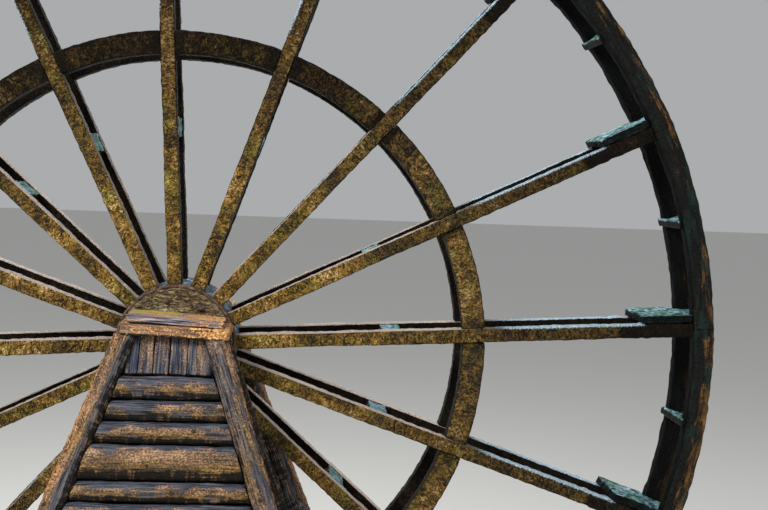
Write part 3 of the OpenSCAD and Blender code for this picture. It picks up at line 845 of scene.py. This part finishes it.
def slimy_timber(name, stops, moss_stops, side_sheen_code, deep_code, glint_code):
    """Waterlogged timber under river slime: ochre lumps of 18 by 26 mm with thin pale lines between
    them, which are painted highlights like the palest stops, and patches of yellow-green algae. mark is 1
    where a pale painted sheen lies, shade is 1 where it is black, in part painted shade, and glint is 1 where
    a blue-white painted highlight stands for light off water on the wood."""
    material, tree, shader = blank(name)
    grain = add(tree, "Attribute", {"attribute_name": "grain"}, out="Vector")
    relief, mark, shade, glint = (
        add(tree, "Attribute", {"attribute_name": key}, out="Fac")
        for key in ("relief", "mark", "shade", "glint"))
    lump_way = add(tree, "Mapping", {}, {"Vector": grain, "Scale": (56, 38, 38)})
    lumps = add(tree, "TexNoise", {}, {
        "Vector": lump_way, "Scale": 1.0, "Detail": 2.0, "Roughness": 0.5, "Distortion": 1.4})
    crumbs = add(tree, "TexNoise", {}, {"Vector": grain, "Scale": 130.0, "Detail": 3.0, "Roughness": 0.6})
    clouds = add(tree, "TexNoise", {}, {"Vector": grain, "Scale": 7.0, "Detail": 4.0, "Roughness": 0.62})
    # Thin pale lines round the lumps: a painted highlight.
    off_ridge = add(tree, "Math", {"operation": "SUBTRACT"}, {0: lumps, 1: 0.53})
    off_ridge = add(tree, "Math", {"operation": "ABSOLUTE"}, {0: off_ridge})
    ridge = add(tree, "MapRange", smooth, {
        "Value": off_ridge, "From Max": 0.03, "To Min": 0.18, "To Max": 0.0})
    level = add(tree, "Math", times_plus, {0: relief, 1: 0.08, 2: lumps})
    level = add(tree, "Math", times_plus, {0: crumbs, 1: 0.75, 2: level})
    level = add(tree, "Math", times_plus, {0: clouds, 1: 1.0, 2: level})
    level = add(tree, "MapRange", {}, {"Value": level, "From Min": 1.05, "From Max": 1.75})
    level = add(tree, "Math", {"operation": "ADD"}, {0: level, 1: ridge})
    tone = add(tree, "ValToRGB", {"stops": stops}, {"Fac": level})
    moss_tone = add(tree, "ValToRGB", {"stops": moss_stops}, {"Fac": level})
    mossed = add(tree, "TexNoise", {}, {"Vector": grain, "Scale": 5.5, "Detail": 7.0, "Roughness": 0.72})
    mossed = add(tree, "MapRange", smooth, {
        "Value": mossed, "From Min": 0.47, "From Max": 0.66, "To Max": 0.9})
    tone = add(tree, "Mix", in_colour, {0: mossed, 6: tone, 7: moss_tone}, 2)
    # Black where shade is high, in part painted shade.
    darkening = add(tree, "Math", times_plus, {0: clouds, 1: 0.6, 2: shade})
    darkening = add(tree, "Math", times_plus, {0: lumps, 1: -0.3, 2: darkening})
    darkening = add(tree, "MapRange", {}, {"Value": darkening, "From Min": 0.15, "From Max": 1.05, "To Max": 0.97})
    tone = add(tree, "Mix", in_colour, {0: darkening, 6: tone, 7: colour(deep_code)}, 2)
    # A pale painted sheen where mark is high.
    top_mask = add(tree, "Math", times_plus, {0: crumbs, 1: 0.5, 2: mark})
    top_mask = add(tree, "MapRange", smooth, {
        "Value": top_mask, "From Min": 0.5, "From Max": 1.1, "To Max": 0.95})
    tone = add(tree, "Mix", in_colour, {0: top_mask, 6: tone, 7: colour(side_sheen_code)}, 2)
    # A blue-white painted highlight where glint is high, for light off water on the wood.
    glint_paint = add(tree, "Math", times_plus, {0: crumbs, 1: 1.3, 2: glint})
    glint_paint = add(tree, "MapRange", smooth, {"Value": glint_paint, "From Min": 1.05, "From Max": 1.6, "To Max": 0.9})
    tone = add(tree, "Mix", in_colour, {0: glint_paint, 6: tone, 7: colour(glint_code)}, 2)
    height = add(tree, "Math", times_plus, {0: crumbs, 1: 0.5, 2: lumps})
    bump = add(tree, "Bump", {}, {"Height": height, "Strength": 1.0, "Distance": 0.026})
    gloss = add(tree, "MapRange", {}, {"Value": glint_paint, "To Min": 0.38, "To Max": 0.22})
    shine = add(tree, "MapRange", {}, {
        "Value": darkening, "From Min": 0.3, "From Max": 0.9, "To Min": 0.3, "To Max": 0.05})
    give(tree, shader, {"Base Color": tone, "Normal": bump, "Roughness": gloss, "Specular IOR Level": shine})
    return material


# The palest stops are painted highlights, the side colour a painted sheen, the last a painted highlight.
spoke_timber = slimy_timber("slimy_spoke_timber", [
    (0.0, "#100a02"), (0.25, "#382707"), (0.5, "#6a4e13"), (0.75, "#9c7632"), (1.0, "#dfc196")], [
    (0.0, "#0d0b02"), (0.25, "#322b05"), (0.5, "#5d510d"), (0.75, "#8b7d24"), (1.0, "#d0c27c")],
    "#c2b1a7", "#0d0b0b", "#abc4d2")


def slime_lift(own, seed):
    """Height of the slime: ripples 34 mm apart, lumps of 50 mm and swells half a metre long."""
    ripple = rough(own * [1, 0.35, 0.35], (0.034, 0.06, 0.06), seed)
    lump = rough(own, (0.05, 0.03, 0.03), seed + 1)
    swell = rough(own, (0.5, 0.3, 0.3), seed + 2)
    return 0.0011 * ripple + 0.0015 * lump + 0.002 * swell - 0.0008


def spoke_bar(turn, y, seed):
    """One bar of a spoke: own coordinates are (out along the spoke, clockwise, towards the rear)."""
    axes = np.array([[math.sin(turn), 0, math.cos(turn)], [math.cos(turn), 0, -math.sin(turn)], [0, 1, 0]])
    outline = rectangle(spoke_width, spoke_depth, spoke_corner, 6)
    own = stick(lambda a, b: socket_radius + 0 * a, lambda a, b: rim_inner - 0.0005 + 0 * a, outline,
                spoke_spacing)
    normal = outward(own)
    out = own[..., 0]
    rags = ramp(out, 1.85, 2.10) * rough(own, (0.06, 0.05, 0.05), seed + 8)
    height = slime_lift(own, seed) + 0.003 * rags
    draw = np.random.default_rng(seed)
    inner_face = ramp(-math.copysign(1, y) * normal[..., 2], 0.5, 0.9)
    lead_edge = ramp(-own[..., 1], 0.020, 0.031)
    side_face = ramp(np.abs(normal[..., 1]), 0.5, 0.9)
    faces_up = ramp(normal @ axes[:, 2], 0.05, 0.8)
    above_board = 1 - ramp(out, 2.15, 2.21)
    # mark paints a pale sheen on sides that look up and glint a blue-white highlight on the anticlockwise
    # edge; shade paints shade between the bars, on sides that look down and at the drum, on top of darkening
    # towards the rim.
    marks = {
        "grain": own + draw.uniform(0, 9, 3),
        "relief": np.clip(height / 0.003, -1, 1),
        "mark": side_face * (0.1 + 0.75 * faces_up * (1 - 0.8 * ramp(out, 1.3, 1.5))) * above_board,
        "shade": 0.05 + 0.48 * ramp(out, 0.7, 1.25) + 0.14 * ramp(out, 1.42, 1.6)
        + 1.9 * ramp(out, 2.02, 2.17) + 1.1 * inner_face + 0.7 * side_face * (1 - faces_up)
        + 0.3 * ramp(0.31 - out, 0.0, 0.05) + draw.uniform(-0.06, 0.06),
        "glint": lead_edge * (0.12 + 0.75 * ramp(out, 1.35, 1.6)) * (1 - inner_face) * above_board}
    return placed(own + normal * height[..., None], axle + [0, y, 0], axes), marks, False


def spoke_angle(k):
    """Clockwise angle from upright of the spoke numbered k, from 0."""
    return spoke_turn + k * 2 * math.pi / spoke_count


for line in range(spoke_count // 2):
    bars = [spoke_bar(spoke_angle(k), y, 2000 + 10 * k + (5 if y > 0 else 0))
            for k in (line, line + spoke_count // 2) for y in (-bar_offset, bar_offset)]
    name = f"spoke_line_{line + 1}"
    piece(f"{name}_timber", bars, spoke_timber, "wheel", "wet_spoke_timber", name)

# Spacer blocks. A short block between the front and rear bar of each spoke keeps them apart. Blue-green
# moss grows on it where drips collect. It is spiked through the bars.
spacer_radius = 0.990
spacer_length = 0.094
spacer_spacing = 0.013
spacer_gap = abs(rim_high.y)


def mossy_board(name, stops, tuft, glint_tuft):
    """Waterlogged board under moss: near-black wood with green cushions 15 to 40 mm across where mark is
    high, with blue-white painted highlights in patches about 110 mm wide, for light off water lying on them."""
    material, tree, shader = blank(name)
    grain = add(tree, "Attribute", {"attribute_name": "grain"}, out="Vector")
    mark = add(tree, "Attribute", {"attribute_name": "mark"}, out="Fac")
    relief = add(tree, "Attribute", {"attribute_name": "relief"}, out="Fac")
    cushions = add(tree, "TexNoise", {}, {"Vector": grain, "Scale": 34.0, "Detail": 4.0, "Roughness": 0.62})
    blades = add(tree, "TexNoise", {}, {"Vector": grain, "Scale": 210.0, "Detail": 2.0})
    fluff = add(tree, "Math", times_plus, {0: blades, 1: 0.5, 2: cushions})
    level = add(tree, "Math", times_plus, {0: relief, 1: 0.12, 2: cushions})
    wood = add(tree, "ValToRGB", {"stops": stops}, {"Fac": level})
    green = add(tree, "ValToRGB", {"stops": tuft}, {"Fac": fluff})
    # Blue-white painted highlights on the moss, in patches.
    glint_green = add(tree, "ValToRGB", {"stops": glint_tuft}, {"Fac": fluff})
    glint_patches = add(tree, "TexNoise", {}, {"Vector": grain, "Scale": 9.0, "Detail": 3.0, "Roughness": 0.6})
    glint_patches = add(tree, "MapRange", smooth, {"Value": glint_patches, "From Min": 0.44, "From Max": 0.58})
    green = add(tree, "Mix", in_colour, {0: glint_patches, 6: green, 7: glint_green}, 2)
    cover = add(tree, "Math", {"operation": "ADD"}, {0: mark, 1: level})
    cover = add(tree, "MapRange", smooth, {"Value": cover, "From Min": 0.85, "From Max": 1.2})
    tone = add(tree, "Mix", in_colour, {0: cover, 6: wood, 7: green}, 2)
    height = add(tree, "Math", times_plus, {0: blades, 1: 0.3, 2: cushions})
    bump = add(tree, "Bump", {}, {"Height": height, "Strength": 1.0, "Distance": 0.012})
    shine = add(tree, "MapRange", {}, {"Value": cover, "To Min": 0.05, "To Max": 0.35})
    give(tree, shader, {"Base Color": tone, "Normal": bump, "Roughness": 0.42, "Specular IOR Level": shine})
    return material


moss_tones = [(0.5, "#1a352c"), (0.64, "#2c5c4f"), (0.78, "#4a7f71"), (0.92, "#78a799")]
# Moss tones brightened to blue-white painted highlights.
glint_moss_tones = [(0.5, "#314f5a"), (0.64, "#4c7280"), (0.78, "#739caa"), (0.92, "#9cbdca")]
spacer_timber = mossy_board(
    "mossy_spacer_timber", [(0.35, "#241c14"), (0.55, "#4a3d2c"), (0.7, "#6b5c48")], moss_tones,
    glint_moss_tones)
board_edge = 0.006


def block(width, length, y_half, turn, centre, seed, lift, moss, spacing, per_side=6):
    """A board of the wheel with its grain along y: own coordinates are (y, out, clockwise), its middle
    at centre, a (distance out, distance clockwise) pair from the axle along the spoke at turn."""
    outline = rectangle(length, width, board_edge, per_side)
    own = stick(lambda a, b: -y_half + 0 * a, lambda a, b: y_half + 0 * a, outline, spacing)
    normal = outward(own)
    height = lift(own, seed)
    draw = np.random.default_rng(seed)
    marks = {"grain": own + draw.uniform(0, 9, 3), "relief": np.clip(height / 0.004, -1, 1),
             "mark": moss(own, normal), "shade": 0 * height}
    axes = np.array([[0, 1, 0], [math.sin(turn), 0, math.cos(turn)], [math.cos(turn), 0, -math.sin(turn)]])
    origin = axle + centre[0] * axes[1] + centre[1] * axes[2]
    return placed(own + normal * height[..., None], origin, axes), marks, False


def rag_lift(own, seed):
    """Moss and rotten fibre: ragged lumps about 50 mm long with smaller ones of 20 mm on them."""
    return (0.0035 * rough(own, (0.05, 0.03, 0.03), seed) + 0.0025 * rough(own, (0.02, 0.02, 0.02), seed + 1)
            - 0.003)


def spacer_moss(own, normal):
    """Moss everywhere, thickest on the two sides that look along the wheel's turn."""
    return 0.35 + 0.35 * ramp(np.abs(normal[..., 2]), 0.4, 0.9)


spacers = [block(spoke_width - 0.004, spacer_length, spacer_gap - 0.0005, spoke_angle(k), (spacer_radius, 0),
                 2500 + k, rag_lift, spacer_moss, spacer_spacing) for k in range(spoke_count)]
piece("spacer_blocks_timber", spacers, spacer_timber, "wheel", "mossy_boards", "spacer_blocks")

# Middle rings. Front and rear, sixteen curved pieces of 75 by 106 mm timber are cut to fit between the
# spokes and hold them apart. They carry the same slime, darker where they meet the spokes.
ring_radius = 1.418
ring_height = 0.106
ring_corner = 0.007
ring_edge = 0.002
ring_spacing = 0.0105
spoke_seat = 0.0008


def curved(middle_radius, y, cut_start, cut_stop, outline, spacing, lift, marks_of, seed, edge):
    """A curved piece of the wheel: own coordinates are (clockwise along the middle radius, y, out), and
    the length along becomes an angle when it is divided by that radius."""
    own = stick(cut_start, cut_stop, outline, spacing, edge)
    normal = outward(own)
    height = lift(own, seed)
    bent = own + normal * height[..., None]
    draw = np.random.default_rng(seed)
    marks = {"grain": own + draw.uniform(0, 9, 3), "relief": np.clip(height / 0.003, -1, 1)}
    marks.update(marks_of(own, normal))
    place = wheel_place(bent[..., 0] / middle_radius, middle_radius + bent[..., 2], y + bent[..., 1])
    return place, marks, False


def ring_arc(k, y, seed):
    """The ring piece between spokes k and k + 1. Its ends lie along the spokes' sides, so a point at
    radius r stops the angle asin(half the spoke's width / r) short of the spoke's middle line."""
    middle = ring_radius - ring_height / 2
    seat = spoke_width / 2 + spoke_seat
    start = lambda a, b: middle * (spoke_angle(k) + np.arcsin(seat / (middle + b)))
    stop = lambda a, b: middle * (spoke_angle(k + 1) - np.arcsin(seat / (middle + b)))
    outline = rectangle(spoke_depth, ring_height, ring_corner, 6)
    joint_low, joint_high = middle * spoke_angle(k), middle * spoke_angle(k + 1)

    def marks_of(own, normal):
        """Darker near the joints and along the outer edge; painted shade on the inner face, the curved faces
        and near the wheel's top, and a painted highlight on the outer face near the top.
        """
        near = np.minimum(own[..., 0] - joint_low, joint_high - own[..., 0])
        inner_face = ramp(-math.copysign(1, y) * normal[..., 1], 0.5, 0.9)
        high = ramp(np.cos(own[..., 0] / middle), 0.45, 0.95)
        side_face = ramp(np.abs(normal[..., 2]), 0.5, 0.9)
        return {"mark": 0 * near,
                "shade": 0.34 + 0.40 * ramp(0.085 - near, 0.0, 0.05) + 1.1 * inner_face + 0.50 * high
                + 0.9 * side_face + 0.4 * ramp(own[..., 2], ring_height / 2 - 0.010, ring_height / 2),
                "glint": 0.35 * high * ramp(normal[..., 2], 0.3, 0.8)}

    return curved(middle, y, start, stop, outline, ring_spacing, slime_lift, marks_of, seed, ring_edge)


wheel_faces = {"front": -bar_offset, "rear": bar_offset}
for face, y in wheel_faces.items():
    name = f"{face}_middle_ring"
    arcs = [ring_arc(k, y, 2605 if y > 0 else 2600) for k in range(spoke_count)]
    piece(f"{name}_timber", arcs, spoke_timber, "wheel", "wet_spoke_timber", name)

# Rims. Sixteen curved boards end to end make each rim, 100 mm high, with their joints over the spokes.
# They are under water every turn: near-black, bark-rough, with orange-brown streaks and green algae.
rim_middle = wheel_radius - 0.050
rim_height = 0.100
rim_corner = 0.012
rim_edge = 0.0015
rim_spacing = 0.015
rim_joint = 0.0006


def soaked_timber(name):
    """Soaked timber at the rim: black-green wet wood, torn along its length, with orange-brown streaks
    about 15 by 110 mm where mark is high and blue-green algae in the hollows. shade is 1 where it is painted
    shade, black."""
    material, tree, shader = blank(name)
    grain = add(tree, "Attribute", {"attribute_name": "grain"}, out="Vector")
    relief, mark, shade = (
        add(tree, "Attribute", {"attribute_name": key}, out="Fac")
        for key in ("relief", "mark", "shade"))
    streak_way = add(tree, "Mapping", {}, {"Vector": grain, "Scale": (9, 58, 58)})
    streaks = add(tree, "TexNoise", {}, {
        "Vector": streak_way, "Scale": 1.0, "Detail": 6.0, "Roughness": 0.66, "Distortion": 0.6})
    crumbs = add(tree, "TexNoise", {}, {"Vector": grain, "Scale": 80.0, "Detail": 3.0})
    algae_way = add(tree, "Mapping", {}, {"Vector": grain, "Scale": (6, 19, 19)})
    algae = add(tree, "TexNoise", {}, {"Vector": algae_way, "Scale": 1.0, "Detail": 6.0, "Roughness": 0.7})
    level = add(tree, "Math", times_plus, {0: relief, 1: 0.08, 2: streaks})
    wood = add(tree, "ValToRGB", {"stops": [
        (0.34, "#020202"), (0.48, "#070706"), (0.6, "#12100b"), (0.72, "#2a2115")]}, {"Fac": level})
    brown = add(tree, "Math", times_plus, {0: crumbs, 1: 0.15, 2: mark})
    brown = add(tree, "Math", {"operation": "ADD"}, {0: level, 1: brown})
    brown = add(tree, "MapRange", smooth, {"Value": brown, "From Min": 0.93, "From Max": 1.16, "To Max": 0.9})
    rubbed = add(tree, "Math", times_plus, {0: crumbs, 1: 0.4, 2: streaks})
    rubbed = add(tree, "Math", {"operation": "MULTIPLY"}, {0: rubbed, 1: 0.82})
    rust_brown = add(tree, "ValToRGB", {"stops": [
        (0.42, "#140c05"), (0.54, "#3a2510"), (0.66, "#5f421e"), (0.8, "#8a6534")]}, {"Fac": rubbed})
    tone = add(tree, "Mix", in_colour, {0: brown, 6: wood, 7: rust_brown}, 2)
    green = add(tree, "MapRange", smooth, {
        "Value": algae, "From Min": 0.52, "From Max": 0.63, "To Max": 0.75})
    tone = add(tree, "Mix", in_colour, {0: green, 6: tone, 7: colour("#10251f")}, 2)
    # Painted shade, near black, where shade is high.
    tone = add(tree, "Mix", in_colour, {0: shade, 6: tone, 7: colour("#060606")}, 2)
    height = add(tree, "Math", times_plus, {0: crumbs, 1: 0.6, 2: streaks})
    bump = add(tree, "Bump", {}, {"Height": height, "Strength": 1.0, "Distance": 0.024})
    shine = add(tree, "MapRange", {}, {"Value": shade, "To Min": 0.15, "To Max": 0.04})
    give(tree, shader, {"Base Color": tone, "Normal": bump, "Roughness": 0.5, "Specular IOR Level": shine})
    return material


rim_timber = soaked_timber("soaked_rim_timber")


def bark_lift(own, seed):
    """Torn, bark-like wood: ridges 200 mm long, lumps of 60 mm and swells 600 mm long."""
    ridge = rough(own, (0.20, 0.03, 0.03), seed)
    lump = rough(own, (0.06, 0.04, 0.04), seed + 1)
    return 0.0028 * ridge + 0.0022 * lump + 0.002 * rough(own, (0.6, 0.4, 0.4), seed + 2) - 0.0015


def rim_arc(k, y, seed):
    """The rim board from spoke k to spoke k + 1, with orange-brown streaks on its outer half."""
    start = lambda a, b: rim_middle * (spoke_angle(k) + 0 * a) + rim_joint / 2
    stop = lambda a, b: rim_middle * (spoke_angle(k + 1) + 0 * a) - rim_joint / 2
    outline = rectangle(spoke_depth, rim_height, rim_corner, 6)

    def marks_of(own, normal):
        """Streaks on the outer half, wider below the axle; black painted shade on the inner edge and inner
        face.
        """
        inner_face = ramp(-math.copysign(1, y) * normal[..., 1], 0.5, 0.9)
        lower = ramp(-np.cos(own[..., 0] / rim_middle), -0.3, 0.2)
        streaked = ramp(own[..., 2] + 0.012 * lower, -0.022, 0.024)
        return {"mark": 0.08 + (0.32 + 0.15 * lower) * streaked
                + 0.16 * rough(own, (0.25, 0.05, 0.03), seed + 3),
                "shade": np.maximum(0.95 * ramp(-normal[..., 2], 0.4, 0.9), 0.85 * inner_face)}

    return curved(rim_middle, y, start, stop, outline, rim_spacing, bark_lift, marks_of, seed, rim_edge)


for face, y in wheel_faces.items():
    arcs = [rim_arc(k, y, 3005 if y > 0 else 3000) for k in range(spoke_count)]
    piece(f"{face}_rim_timber", arcs, rim_timber, "wheel", "wet_rim_timber", f"{face}_rim")

# Paddle boards. A long board on each spoke and a short one between span the wheel just inside the
# rims, each with a tongue that passes between them. The short ones barely reach inside the rims and sit
# a little off the middle, towards the long ones' side. They are soaked black, and their tops are thick
# with blue-green moss under blue-white painted highlights. The long ones are bolted to the spokes' sides.
paddle_half = 0.185
tongue_half = spacer_gap - 0.0012
paddle_outer = wheel_radius - 0.010
long_thickness = 0.038
long_inner = rim_inner - 0.238
short_thickness = 0.040
short_inner = rim_inner - 0.015
short_shift = 0.027
long_spacing = 0.010
short_spacing = 0.014
tongue_spacing = 0.012
paddle_timber = mossy_board(
    "mossy_paddle_timber", [(0.35, "#040606"), (0.52, "#0a1010"), (0.68, "#172220")], moss_tones,
    glint_moss_tones)


def paddle_moss(own, normal):
    """Moss on the anticlockwise face, hanging over its edges; bare black wood elsewhere."""
    bare_end = ramp(np.abs(normal[..., 0]), 0.4, 0.8)
    return (0.10 + 0.52 * ramp(-own[..., 2], 0.002, 0.015)) * (1 - 0.8 * bare_end)


def thin_rag(own, seed):
    """The same rags on a board too thin to lose much."""
    return 0.35 * rag_lift(own, seed)


def paddle(turn, inner, thickness, clockwise, seed, lift, spacing):
    """A board inside the rims and its tongue between them, as two closed solids that overlap."""
    board_out = rim_inner - 0.0012 - inner
    tongue_out = paddle_outer - rim_inner + min(0.012, board_out - 0.003)
    board = block(thickness, board_out, paddle_half - 0.001, turn, (inner + board_out / 2, clockwise), seed,
                  lift, paddle_moss, spacing, 7)
    tongue = block(thickness - 0.004, tongue_out, tongue_half, turn,
                   (paddle_outer - tongue_out / 2, clockwise), seed + 1, rag_lift, paddle_moss,
                   tongue_spacing, 5)
    return [board, tongue]


long_boards, short_boards = [], []
beside_spoke = -(spoke_width + long_thickness) / 2 - 0.001
for k in range(spoke_count):
    long_boards += paddle(spoke_angle(k), long_inner, long_thickness, beside_spoke, 3500 + 10 * k,
                          rag_lift, long_spacing)
    short_boards += paddle(spoke_angle(k + 0.5), short_inner, short_thickness, -short_shift, 3700 + 10 * k,
                           thin_rag, short_spacing)
piece("long_paddles_timber", long_boards, paddle_timber, "wheel", "mossy_boards", "long_paddles")
piece("short_paddles_timber", short_boards, paddle_timber, "wheel", "mossy_boards", "short_paddles")

# Studio. A plain pale floor under a pale sky, one large soft light high on the left in front, a weak
# one from the right and one above. The camera stands where the photograph was taken from.
floor_half = 90.0
corners = [(floor_half * x, floor_half * y, 0) for x, y in ((-1, -1), (1, -1), (1, 1), (-1, 1))]
floor_mesh = bpy.data.meshes.new("studio_floor")
floor_mesh.from_pydata(corners, [], [(0, 1, 2, 3)])
floor = bpy.data.objects.new("studio_floor", floor_mesh)
bpy.context.scene.collection.objects.link(floor)
floor_paint, tree, shader = blank("pale_studio_floor")
give(tree, shader, {"Base Color": colour("#d9d8d4"), "Roughness": 0.9})
floor_mesh.materials.append(floor_paint)

world = bpy.data.worlds.new("pale_sky")
bpy.context.scene.world = world
world.use_nodes = True
sky = world.node_tree.nodes["Background"]
give(world.node_tree, sky, {"Color": colour("#e8eaec"), "Strength": 0.5})


def soft_light(name, place, aim, size, power):
    """A square area light at place, turned towards aim."""
    lamp = bpy.data.lights.new(name, "AREA")
    lamp.size, lamp.energy = size, power
    holder = bpy.data.objects.new(name, lamp)
    bpy.context.scene.collection.objects.link(holder)
    holder.location = place
    holder.rotation_euler = (Vector(aim) - Vector(place)).to_track_quat("-Z", "Y").to_euler()


soft_light("key", (-4.5, -7.0, 8.5), (0.6, 0, 2.4), 3.0, 1300)
soft_light("fill", (7.0, -6.5, 4.5), (0.6, 0, 2.4), 4.0, 220)
soft_light("top", (1.0, 2.0, 10.0), (0.6, 0, 2.6), 4.0, 700)

view_yaw = math.radians(3.79)
view_pitch = math.radians(-3.54)
view_roll = math.radians(2.065)
camera_place = (0.541, -6.119, 3.403)
forward = np.array([math.sin(view_yaw) * math.cos(view_pitch), math.cos(view_yaw) * math.cos(view_pitch),
                    math.sin(view_pitch)])
level_right = np.array([math.cos(view_yaw), -math.sin(view_yaw), 0.0])
level_up = np.cross(level_right, forward)
right = math.cos(view_roll) * level_right + math.sin(view_roll) * level_up
up = math.cos(view_roll) * level_up - math.sin(view_roll) * level_right
lens = bpy.data.cameras.new("camera")
lens.lens = 60.94
lens.sensor_width = 36.0
camera = bpy.data.objects.new("camera", lens)
bpy.context.scene.collection.objects.link(camera)
turn = Matrix(np.stack([right, up, -forward], axis=1).tolist()).to_4x4()
camera.matrix_world = Matrix.Translation(camera_place) @ turn
bpy.context.scene.camera = camera
bpy.context.scene.view_settings.view_transform = "Standard"
